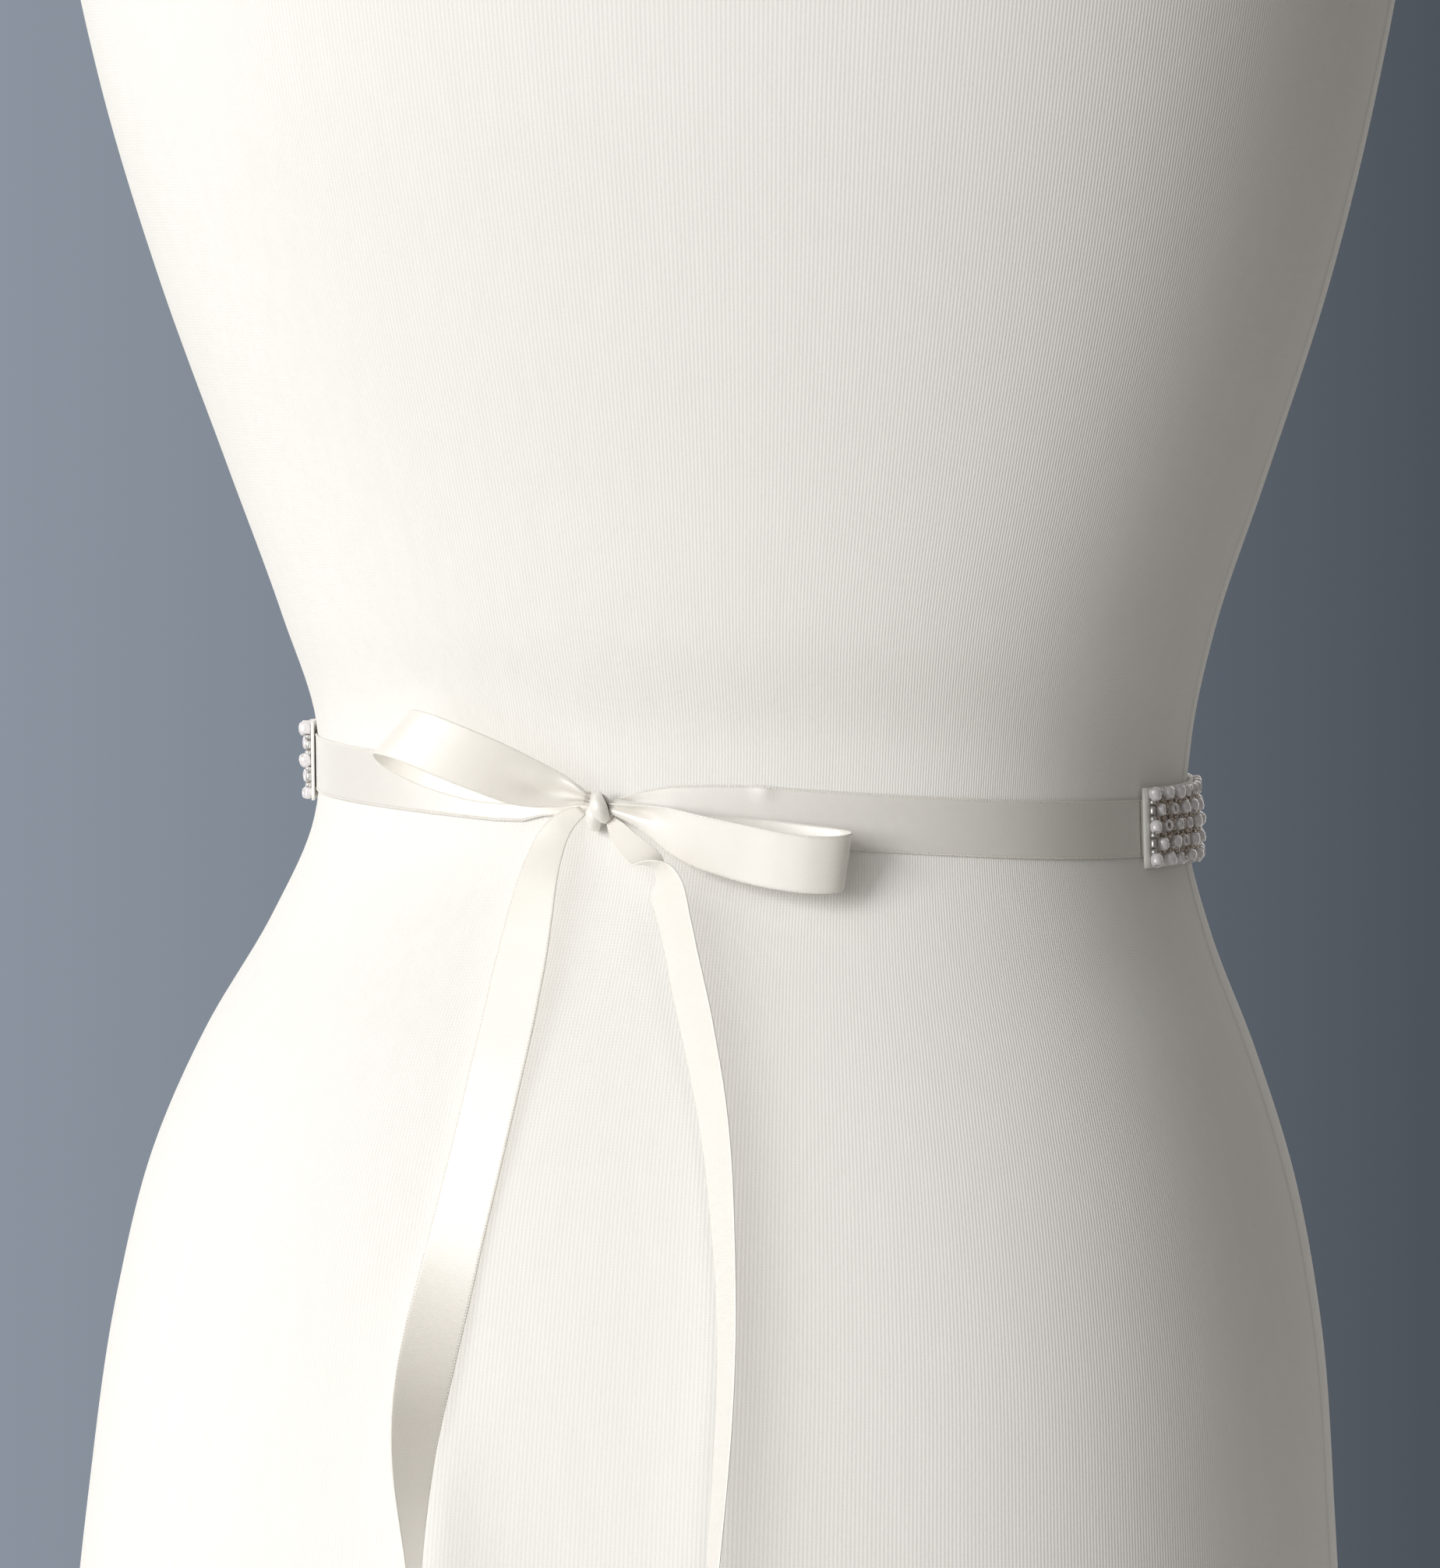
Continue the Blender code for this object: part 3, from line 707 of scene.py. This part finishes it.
@made_once("ivory_satin_ribbon")
def satin_material(name, colour):
    """Satin: floats along the ribbon, faint ribs across it, and a soft directional gloss."""
    settings = {
        "Roughness": 0.42,
        "Anisotropic": 0.5,
        "Specular IOR Level": 1.0,
        "Coat Weight": 0.7,
        "Coat Roughness": 0.32,
        "Coat IOR": 1.6,
        "Sheen Weight": 0.1,
        "Sheen Roughness": 0.35,
        "Subsurface Weight": 1.0,
        "Subsurface Radius": (1.0, 1.0, 1.0),
        "Subsurface Scale": 0.0007,
    }
    nodes = Nodes(name, settings)
    found, across, along = nodes.cloth_uv()
    rib = nodes.wave(along, 0.00042)
    floats = nodes.noise(nodes.stretched(found, (5200.0, 260.0, 1.0)), 1.0, 2.0)
    nodes.bump(nodes.math("ADD", rib, nodes.math("MULTIPLY", floats, 1.4)), 0.000012)
    nodes.colour(floats, shade(colour, 0.95), colour)
    tangent = nodes.add("ShaderNodeTangent", direction_type="UV_MAP", uv_map="cloth")
    nodes.tree.links.new(tangent.outputs[0], nodes.shader.inputs["Tangent"])
    return nodes.material


@made_once("ivory_woven_edge")
def selvage_material(name, colour):
    nodes = Nodes(name, {"Roughness": 0.6, "Sheen Weight": 0.2})
    thread = nodes.noise(nodes.objects(), 2600.0, 2.0)
    nodes.colour(thread, shade(colour, 0.9), colour)
    nodes.bump(thread, 0.00004)
    return nodes.material


@made_once("white_felt")
def felt_material(name, colour):
    nodes = Nodes(name, {"Roughness": 0.95, "Sheen Weight": 0.3})
    fibres = nodes.noise(nodes.objects(), 1500.0, 6.0)
    nodes.colour(fibres, shade(colour, 0.86), colour)
    nodes.bump(fibres, 0.00012)
    return nodes.material


@made_once("cream_pearl")
def pearl_material(name, colour):
    settings = {
        "Roughness": 0.3,
        "Coat Weight": 1.0,
        "Coat Roughness": 0.08,
        "Coat IOR": 1.9,
        "Specular IOR Level": 0.8,
        "Sheen Weight": 0.15,
    }
    nodes = Nodes(name, settings)
    lustre = nodes.noise(nodes.objects(), 240.0, 2.0)
    nodes.colour(lustre, shade(colour, 0.88), colour)
    return nodes.material


@made_once("silver_lined_clear_glass")
def silver_bead_material(name, colour):
    return bead_glass(name, colour)


@made_once("silver_lined_brown_glass")
def glass_bead_material(name, colour):
    return bead_glass(name, colour)


def bead_glass(name, colour):
    settings = {"Roughness": 0.14, "Metallic": 0.85, "Coat Weight": 1.0, "Coat Roughness": 0.05}
    nodes = Nodes(name, settings)
    # Random patches of the bead's colour up to 45% darker: painted dark reflections in the silver lining
    depth = nodes.noise(nodes.objects(), 620.0, 2.0)
    nodes.colour(depth, shade(colour, 0.55), colour)
    return nodes.material


@made_once("pale_floor")
def floor_material(name, colour):
    nodes = Nodes(name, {"Roughness": 0.8})
    nodes.colour(nodes.noise(nodes.objects(), 9.0, 3.0), shade(colour, 0.97), colour)
    return nodes.material


# ---------------------------------------------------------------- sizes and colours


def length_property(name, description, default):
    return FloatProperty(
        name=name, description=description, default=default, min=0, unit="LENGTH", precision=5
    )


def colour_property(name, description, default):
    return FloatVectorProperty(
        name=name, description=description, default=default, size=3, subtype="COLOR", min=0, max=1
    )


class SashSizes(bpy.types.PropertyGroup):
    """Sizes of the cloth, the beads and the knit."""

    ribbon_width: length_property("Ribbon width", "Width of the satin ribbon", 0.015)
    ribbon_thickness: length_property("Ribbon thickness", "Thickness of the satin ribbon", 0.00035)
    ribbon_lift: length_property("Ribbon lift", "Middle of the waist ribbon above the form", 0.0004)
    knot_fold_width: length_property("Knot fold", "Width of the folded ribbon that shows in the knot", 0.0102)
    felt_height: length_property("Felt height", "Height of the felt backing", 0.0212)
    felt_thickness: length_property("Felt thickness", "Thickness of the felt backing", 0.0009)
    felt_lift: length_property("Felt lift", "Middle of the felt above the form", 0.0011)
    selvage_radius: length_property("Edge radius", "Radius of the ribbon's woven edge", 0.00024)
    selvage_inset: length_property("Edge inset", "Woven edge inside the ribbon's cut edge", 0.0003)
    stitch_pitch: length_property("Edge stitch", "Distance between two stitches of the edge", 0.0008)
    pearl_diameter: length_property("Pearl", "Diameter of a pearl", 0.0034)
    seed_diameter: length_property("Seed bead", "Diameter of a glass seed bead", 0.0018)
    column_pitch: length_property("Column pitch", "Distance between two columns of beads", 0.004)
    row_pitch: length_property("Row pitch", "Distance between two rows of beads", 0.0044)
    wales: IntProperty(name="Wales", description="Knitted wales round the form", default=1000, min=1)


class SashColours(bpy.types.PropertyGroup):
    """Colours of the finishes."""

    ribbon: colour_property("Ribbon", "Satin ribbon", (0.83, 0.8, 0.75))
    selvage: colour_property("Woven edge", "Edge threads of the ribbon", (0.94, 0.91, 0.84))
    jersey: colour_property("Jersey", "Cover of the form", (0.868, 0.856, 0.83))
    felt: colour_property("Felt", "Backing of the beads", (0.72, 0.695, 0.665))
    pearl: colour_property("Pearls", "Pearls", (0.83, 0.8, 0.82))
    glass: colour_property("Glass beads", "Silver-lined glass beads", (0.62, 0.52, 0.43))
    silver: colour_property("Silver beads", "Clear silver-lined beads", (0.86, 0.85, 0.84))
    floor: colour_property("Floor", "Floor under the form", (0.8, 0.79, 0.77))


# ---------------------------------------------------------------- operators


class SASH_OT_form(bpy.types.Operator):
    """Build the dress form's jersey cover and its side seams"""

    bl_idname = "sash.form"
    bl_label = "Dress form"

    def execute(self, context):
        sizes, colours = context.scene.sash_sizes, context.scene.sash_colours
        jersey = jersey_material(colours.jersey, sizes.wales)
        top = FORM_SECTIONS[-1][0]

        def place(u, v):
            # Rows close up at the rounded edges of the base and the neck.
            z = top * v
            inset = EDGE_RADIUS - np.minimum(np.minimum(z, top - z), EDGE_RADIUS)
            drawn = EDGE_RADIUS - np.sqrt(np.maximum(EDGE_RADIUS**2 - inset**2, 0))
            points = surface(math.tau * u, z)
            middle = surface(np.array([0, math.pi]), z[..., None])[..., 1].mean(-1)
            centre = np.stack([0 * z, middle, z], -1)
            return points - drawn[..., None] * unit(points - centre)

        cover = shaped_grid(*FORM_MESH, place, (1, top), weld=True)
        bmesh.ops.holes_fill(cover, edges=cover.edges, sides=0)
        bmesh.ops.recalc_face_normals(cover, faces=cover.faces)
        add_piece("form_cover", cover, jersey, ["dress_form"])
        for name, turn in zip(("side_seam_right", "side_seam_left"), SEAM_TURNS):
            add_piece(name, self.seam(turn, top), jersey)
        return {"FINISHED"}

    def seam(self, turn, top):
        """A low ridge up the form, where two panels of the cover are sewn together."""

        def place(u, v):
            z = EDGE_RADIUS + (top - 2 * EDGE_RADIUS) * v
            right, _, out = form_axes(np.full_like(z, turn), z)
            rise = SEAM_RISE * np.sin(math.pi * u) ** 2 - SEAM_SINK
            aside = SEAM_HALF_WIDTH * (2 * u - 1)
            return surface(turn, z) + aside[..., None] * right + rise[..., None] * out

        return shaped_grid(*SEAM_MESH, place, (2 * SEAM_HALF_WIDTH / TYPICAL_GIRTH, top))


class SASH_OT_waist(bpy.types.Operator):
    """Build the ribbon round the waist"""

    bl_idname = "sash.waist"
    bl_label = "Waist ribbon"

    def execute(self, context):
        sizes = context.scene.sash_sizes
        width, lift = sizes.ribbon_width, sizes.ribbon_lift
        folds = {"pleats": 1.6, "depth": 0.0003}
        left = gathered_stretch(LEFT_GATHER, -1, width, lift, **folds)
        right = gathered_stretch(RIGHT_GATHER, 1, width, lift, ripples=RIGHT_WAIST_RIPPLES, face=-1, **folds)
        behind = waist_stretch(PANEL_END_TURN, math.tau - PANEL_END_TURN, width, lift, face=-1)
        for name, stretch, node in (
            ("ribbon_waist_left", left, "waist_ribbon_left"),
            ("ribbon_waist_right", right, "waist_ribbon_right"),
            ("ribbon_waist_behind", behind, "waist_ribbon_behind_panel"),
        ):
            add_ribbon(
                name, stretch, WAIST_MESH, [node], context
            )
        return {"FINISHED"}


class SASH_OT_panel(bpy.types.Operator):
    """Build the felt backing of the beaded panel"""

    bl_idname = "sash.panel"
    bl_label = "Felt backing"

    def execute(self, context):
        sizes, colours = context.scene.sash_sizes, context.scene.sash_colours
        stretch = waist_stretch(
            PANEL_END_TURN, math.tau - PANEL_END_TURN, sizes.felt_height, sizes.felt_lift, face=-1
        )
        shape = shaped_grid(*PANEL_MESH, stretch.at, (sizes.felt_height, stretch.length))
        felt = felt_material(colours.felt)
        piece = add_piece("felt_backing", shape, felt, ["panel_backing"], sizes.felt_thickness)
        return {"FINISHED"}


class SASH_OT_beads(bpy.types.Operator):
    """Build the pearls, the glass seed beads and the bugle beads"""

    bl_idname = "sash.beads"
    bl_label = "Beads"

    def execute(self, context):
        sizes, colours = context.scene.sash_sizes, context.scene.sash_colours
        floor = sizes.felt_lift + sizes.felt_thickness / 2
        stretch = waist_stretch(PANEL_END_TURN, math.tau - PANEL_END_TURN, sizes.felt_height, floor, face=-1)
        draw = np.random.default_rng(BEAD_SEED)
        usable = stretch.length - 2 * PANEL_MARGIN
        columns = 2 * round(usable / sizes.column_pitch / 2)
        pitch = usable / columns
        rounds, rings, seeds, clear, bugles = [], [], [], [], []

        def place(column, row, height, tilt, turn):
            """The matrix of a bead whose hole lies along the panel, then is tilted outwards and turned."""
            v = np.array((PANEL_MARGIN + column * pitch) / stretch.length)
            u = np.array(0.5 + row * sizes.row_pitch / stretch.full_width)
            across, out = stretch.axes(v)
            forward = np.cross(across, out)
            centre = stretch.at(u, v) + height * out
            axes = Matrix((across, out, forward)).transposed().to_4x4()
            swing = Matrix.Rotation(turn, 4, "Y") @ Matrix.Rotation(tilt, 4, "X")
            return Matrix.Translation(centre) @ axes @ swing

        pearl_radius, seed_radius = sizes.pearl_diameter / 2, sizes.seed_diameter / 2
        pearl_rise, seed_rise = pearl_radius - BEAD_SINK, seed_radius - BEAD_SINK
        for column in range(columns + 1):
            ends = column in (0, columns)
            for row in range(-2, 3):
                if (column + row) % 2:
                    continue
                ring = draw.random() < RING_SHARE and not (ends and row > -1)
                tilt = draw.uniform(-2.0, -1.15) if ring else draw.uniform(-0.3, 0.3)
                sway = draw.uniform(-0.0002, 0.0002, 2)
                turn = draw.uniform(-0.5, 0.5) + (0 if ring else math.pi / 2)
                swell = Matrix.Scale(draw.uniform(0.95, 1.04), 4)
                rise = RING_HALF_LENGTH if ring else pearl_rise
                spot = place(column + sway[0] / pitch, row + sway[1] / sizes.row_pitch, rise, tilt, turn)
                (rings if ring else rounds).append(spot @ swell)
                if ring:
                    seeds.append(spot @ Matrix.Scale(SEED_IN_RING, 4))
            if column < columns:
                for row in range(-2, 2):
                    rising = (column + row) % 2 == 0
                    turn = (0.8 if rising else -0.8) + draw.uniform(-0.5, 0.5)
                    tilt = draw.uniform(-0.8, 0.8)
                    sway = draw.uniform(-0.07, 0.07, 2)
                    seeds.append(place(column + 0.5 + sway[0], row + 0.5 + sway[1], seed_rise, tilt, turn))
            for row in range(-1, 2):
                if (column + row) % 2 and not ends:
                    for aside in (-0.2, 0.2):
                        sway = draw.uniform(-0.06, 0.06, 2)
                        turn, tilt = draw.uniform(0, math.pi), draw.uniform(-0.9, 0.9)
                        seeds.append(place(column + sway[0], row + aside + sway[1], seed_rise, tilt, turn))
            for side in (-1, 1):
                if column % 2:
                    tilt = draw.uniform(-0.6, 0.6)
                    clear.append(place(column, side * EDGE_ROW, seed_rise + 0.0002, tilt, 0.2))
                if ends:
                    bugles.append(place(column, side * 1.0, seed_rise - 0.0001, 0.0, math.pi / 2))
                    for row in (0.5, 1.5):
                        clear.append(place(column, side * row, seed_rise, 0.3, math.pi / 2))
        pearl = bead_shape(pearl_radius, PEARL_HOLE, pearl_radius, 8, 11, 1.0)
        ring = bead_shape(pearl_radius, RING_HOLE, RING_HALF_LENGTH, 7, 12, 1.0)
        seed, edge_seed = (bead_shape(seed_radius, SEED_HOLE, SEED_HALF_LENGTH, 6, 8, 0.8) for _ in range(2))
        bugle = bead_shape(*BUGLE, 6, 8, 0.45)
        cream, brown = pearl_material(colours.pearl), glass_bead_material(colours.glass)
        silver = silver_bead_material(colours.silver)
        for name, template, spots, material in (
            ("round_pearls", pearl, rounds, cream),
            ("ring_pearls", ring, rings, cream),
            ("brown_seed_beads", seed, seeds, brown),
            ("clear_seed_beads", edge_seed, clear, silver),
            ("bugle_beads", bugle, bugles, silver),
        ):
            add_piece(name, scattered(template, spots), material, ["bead_layer"])
        return {"FINISHED"}


class SASH_OT_knot(bpy.types.Operator):
    """Build the knot: folded ribbon wound over the bow's middle"""

    bl_idname = "sash.knot"
    bl_label = "Knot"

    def execute(self, context):
        sizes, colours = context.scene.sash_sizes, context.scene.sash_colours
        satin = satin_material(colours.ribbon)
        for name, band in KNOT_BANDS.items():
            stretch = self.band(band, sizes.knot_fold_width)
            shape = shaped_grid(*KNOT_MESH, stretch.at, (sizes.knot_fold_width, stretch.length))
            bmesh.ops.remove_doubles(shape, verts=shape.verts, dist=WELD)
            piece = add_piece(name, shape, satin, ["knot"], sizes.ribbon_thickness)
        return {"FINISHED"}

    def band(self, band, full_width):
        """A turn of folded ribbon up the front, over the top and down behind, where it is drawn in."""
        swing = math.pi + np.linspace(0, math.tau, SAMPLES)
        front = np.cos(swing)
        up, out = band.half_height * np.sin(swing), band.half_depth * front
        offset = np.array((band.right, -band.out, band.up))
        middles = KNOT_MIDDLE + offset + np.stack([band.lean * up, -out, up], -1)
        across = np.tile((1.0, 0.0, -band.lean), (SAMPLES, 1))
        widths = band.width * (0.6 + 0.4 * front**2)
        share = (1 - front) / 2
        depth = KNOT_BACK_DEPTH * share**3
        return Stretch(middles, across, widths, full_width, KNOT_PLEATS, depth, band.crown * (1 - share))


class SASH_OT_loops(bpy.types.Operator):
    """Build the bow's two loops"""

    bl_idname = "sash.loops"
    bl_label = "Loops"

    def execute(self, context):
        width = context.scene.sash_sizes.ribbon_width
        left = loop_stretch(LEFT_LOOP, width, pleats=2.2, depth=0.0006, ripples=LEFT_LOOP_RIPPLES)
        right = loop_stretch(RIGHT_LOOP, width, pleats=1.2, depth=0.0003, ripples=RIGHT_LOOP_RIPPLES, face=-1)
        for node, stretch in (("loop_left", left), ("loop_right", right)):
            name, length = f"bow_{node}", stretch.length
            pieces = add_ribbon(name, stretch, LOOP_MESH, [node], context)
            if stretch is left:
                let_light_through(*pieces)
        return {"FINISHED"}


class SASH_OT_tails(bpy.types.Operator):
    """Build the two hanging tails"""

    bl_idname = "sash.tails"
    bl_label = "Tails"

    def execute(self, context):
        width = context.scene.sash_sizes.ribbon_width
        left = tail_stretch(LEFT_TAIL, width, face=-1)
        right = tail_stretch(RIGHT_TAIL, width, face=-1)
        for node, stretch in (("tail_left", left), ("tail_right", right)):
            name, length = f"bow_{node}", stretch.length
            pieces = add_ribbon(name, stretch, TAIL_MESH, [node], context)
            let_light_through(*pieces)
        return {"FINISHED"}


class SASH_OT_stage(bpy.types.Operator):
    """Build the floor, the lights and the camera"""

    bl_idname = "sash.stage"
    bl_label = "Stage"

    def execute(self, context):
        scene = context.scene
        disc = bmesh.new()
        bmesh.ops.create_circle(disc, cap_ends=True, segments=96, radius=FLOOR_RADIUS)
        mesh = bpy.data.meshes.new("floor")
        disc.to_mesh(mesh)
        disc.free()
        mesh.materials.append(floor_material(scene.sash_colours.floor))
        floor = bpy.data.objects.new("floor", mesh)
        scene.collection.objects.link(floor)
        self.camera(scene)
        for light in LIGHTS:
            self.light(scene, light)
        self.surroundings(scene)
        scene.view_settings.view_transform = "Standard"
        return {"FINISHED"}

    def camera(self, scene):
        azimuth, roll = math.radians(CAMERA_ANGLES[0]), math.radians(CAMERA_ANGLES[2])
        back = towards(*CAMERA_ANGLES[:2])
        level = Vector((math.cos(azimuth), math.sin(azimuth), 0))
        upright = back.cross(level)
        right = math.cos(roll) * level + math.sin(roll) * upright
        up = back.cross(right)
        data = bpy.data.cameras.new("camera")
        data.sensor_width = SENSOR
        data.lens = SENSOR / 2 / math.tan(math.radians(CAMERA_FIELD) / 2)
        data.clip_start, data.clip_end = 0.01, 100
        camera = bpy.data.objects.new("camera", data)
        turn = Matrix((right, up, back)).transposed().to_4x4()
        camera.matrix_world = Matrix.Translation(Vector(CAMERA_TARGET) + CAMERA_DISTANCE * back) @ turn
        scene.collection.objects.link(camera)
        scene.camera = camera

    def light(self, scene, light):
        data = bpy.data.lights.new(light.name, "AREA")
        data.shape, data.size, data.size_y = "RECTANGLE", light.width, light.height
        data.energy, data.color = light.energy, light.colour
        lamp = bpy.data.objects.new(light.name, data)
        back = towards(light.azimuth, light.elevation)
        lamp.location = Vector(LIGHT_TARGET) + light.distance * back
        lamp.rotation_mode = "QUATERNION"
        lamp.rotation_quaternion = back.to_track_quat("Z", "Y")
        scene.collection.objects.link(lamp)

    def surroundings(self, scene):
        """A slate surround to look at, painted lighter on the left and darker on the right as light falling
        off, and broad pools of soft light to light the piece.
        """
        world = bpy.data.worlds.new("slate")
        world.use_nodes = True
        tree = world.node_tree
        glow = tree.nodes["Background"]
        where = tree.nodes.new("ShaderNodeTexCoord")
        dot = tree.nodes.new("ShaderNodeVectorMath")
        dot.operation = "DOT_PRODUCT"
        azimuth = math.radians(CAMERA_ANGLES[0])
        dot.inputs[1].default_value = (math.cos(azimuth), math.sin(azimuth), 0)
        tree.links.new(where.outputs["Generated"], dot.inputs[0])
        spread = tree.nodes.new("ShaderNodeMapRange")
        spread.inputs["From Min"].default_value = -SURROUND_PAINTED_FALLOFF_SPREAD
        spread.inputs["From Max"].default_value = SURROUND_PAINTED_FALLOFF_SPREAD
        tree.links.new(dot.outputs["Value"], spread.inputs["Value"])
        # The surround's colour: a painted light falloff, from lighter on the left to darker on the right
        mix = tree.nodes.new("ShaderNodeMix")
        mix.data_type = "RGBA"
        tree.links.new(spread.outputs["Result"], mix.inputs[0])
        mix.inputs[6].default_value = (*SURROUND_PAINTED_LIGHT_LEFT, 1)
        mix.inputs[7].default_value = (*SURROUND_PAINTED_SHADE_RIGHT, 1)
        total = Vector(AMBIENT)
        for pool in POOLS:
            total = self.pool(tree, where.outputs["Generated"], pool, total)
        seen = tree.nodes.new("ShaderNodeLightPath")
        choose = tree.nodes.new("ShaderNodeMix")
        choose.data_type = "RGBA"
        tree.links.new(seen.outputs["Is Camera Ray"], choose.inputs[0])
        tree.links.new(total, choose.inputs[6])
        tree.links.new(mix.outputs[2], choose.inputs[7])
        tree.links.new(choose.outputs[2], glow.inputs["Color"])
        scene.world = world

    def pool(self, tree, direction, pool, before):
        """One broad pool of light, added to the light before it."""
        facing = tree.nodes.new("ShaderNodeVectorMath")
        facing.operation = "DOT_PRODUCT"
        facing.inputs[1].default_value = towards(pool.azimuth, pool.elevation)
        tree.links.new(direction, facing.inputs[0])
        front = tree.nodes.new("ShaderNodeMath")
        front.operation = "MAXIMUM"
        tree.links.new(facing.outputs["Value"], front.inputs[0])
        front.inputs[1].default_value = 0
        fall = tree.nodes.new("ShaderNodeMath")
        fall.operation = "POWER"
        tree.links.new(front.outputs[0], fall.inputs[0])
        fall.inputs[1].default_value = pool.power
        tinted = tree.nodes.new("ShaderNodeVectorMath")
        tinted.operation = "MULTIPLY_ADD"
        tree.links.new(fall.outputs[0], tinted.inputs[0])
        tinted.inputs[1].default_value = pool.colour
        if isinstance(before, bpy.types.NodeSocket):
            tree.links.new(before, tinted.inputs[2])
        else:
            tinted.inputs[2].default_value = before
        return tinted.outputs[0]


class SASH_PT_panel(bpy.types.Panel):
    """Lists the pieces, the sizes and the colours"""

    bl_idname = "SASH_PT_panel"
    bl_label = "Beaded sash"
    bl_space_type = "VIEW_3D"
    bl_region_type = "UI"
    bl_category = "Sash"

    def draw(self, context):
        for operator in OPERATORS:
            self.layout.operator(operator.bl_idname)
        for group in (context.scene.sash_sizes, context.scene.sash_colours):
            for name in group.__annotations__:
                self.layout.prop(group, name)


OPERATORS = (
    SASH_OT_form,
    SASH_OT_waist,
    SASH_OT_panel,
    SASH_OT_beads,
    SASH_OT_knot,
    SASH_OT_loops,
    SASH_OT_tails,
    SASH_OT_stage,
)
CLASSES = (SashSizes, SashColours, *OPERATORS, SASH_PT_panel)


def register():
    for kind in CLASSES:
        bpy.utils.register_class(kind)
    bpy.types.Scene.sash_sizes = PointerProperty(type=SashSizes)
    bpy.types.Scene.sash_colours = PointerProperty(type=SashColours)


def unregister():
    del bpy.types.Scene.sash_sizes
    del bpy.types.Scene.sash_colours
    for kind in reversed(CLASSES):
        bpy.utils.unregister_class(kind)


def main():
    register()
    for step in ("form", "waist", "panel", "beads", "knot", "loops", "tails", "stage"):
        getattr(bpy.ops.sash, step)()


if __name__ == "__main__":
    main()
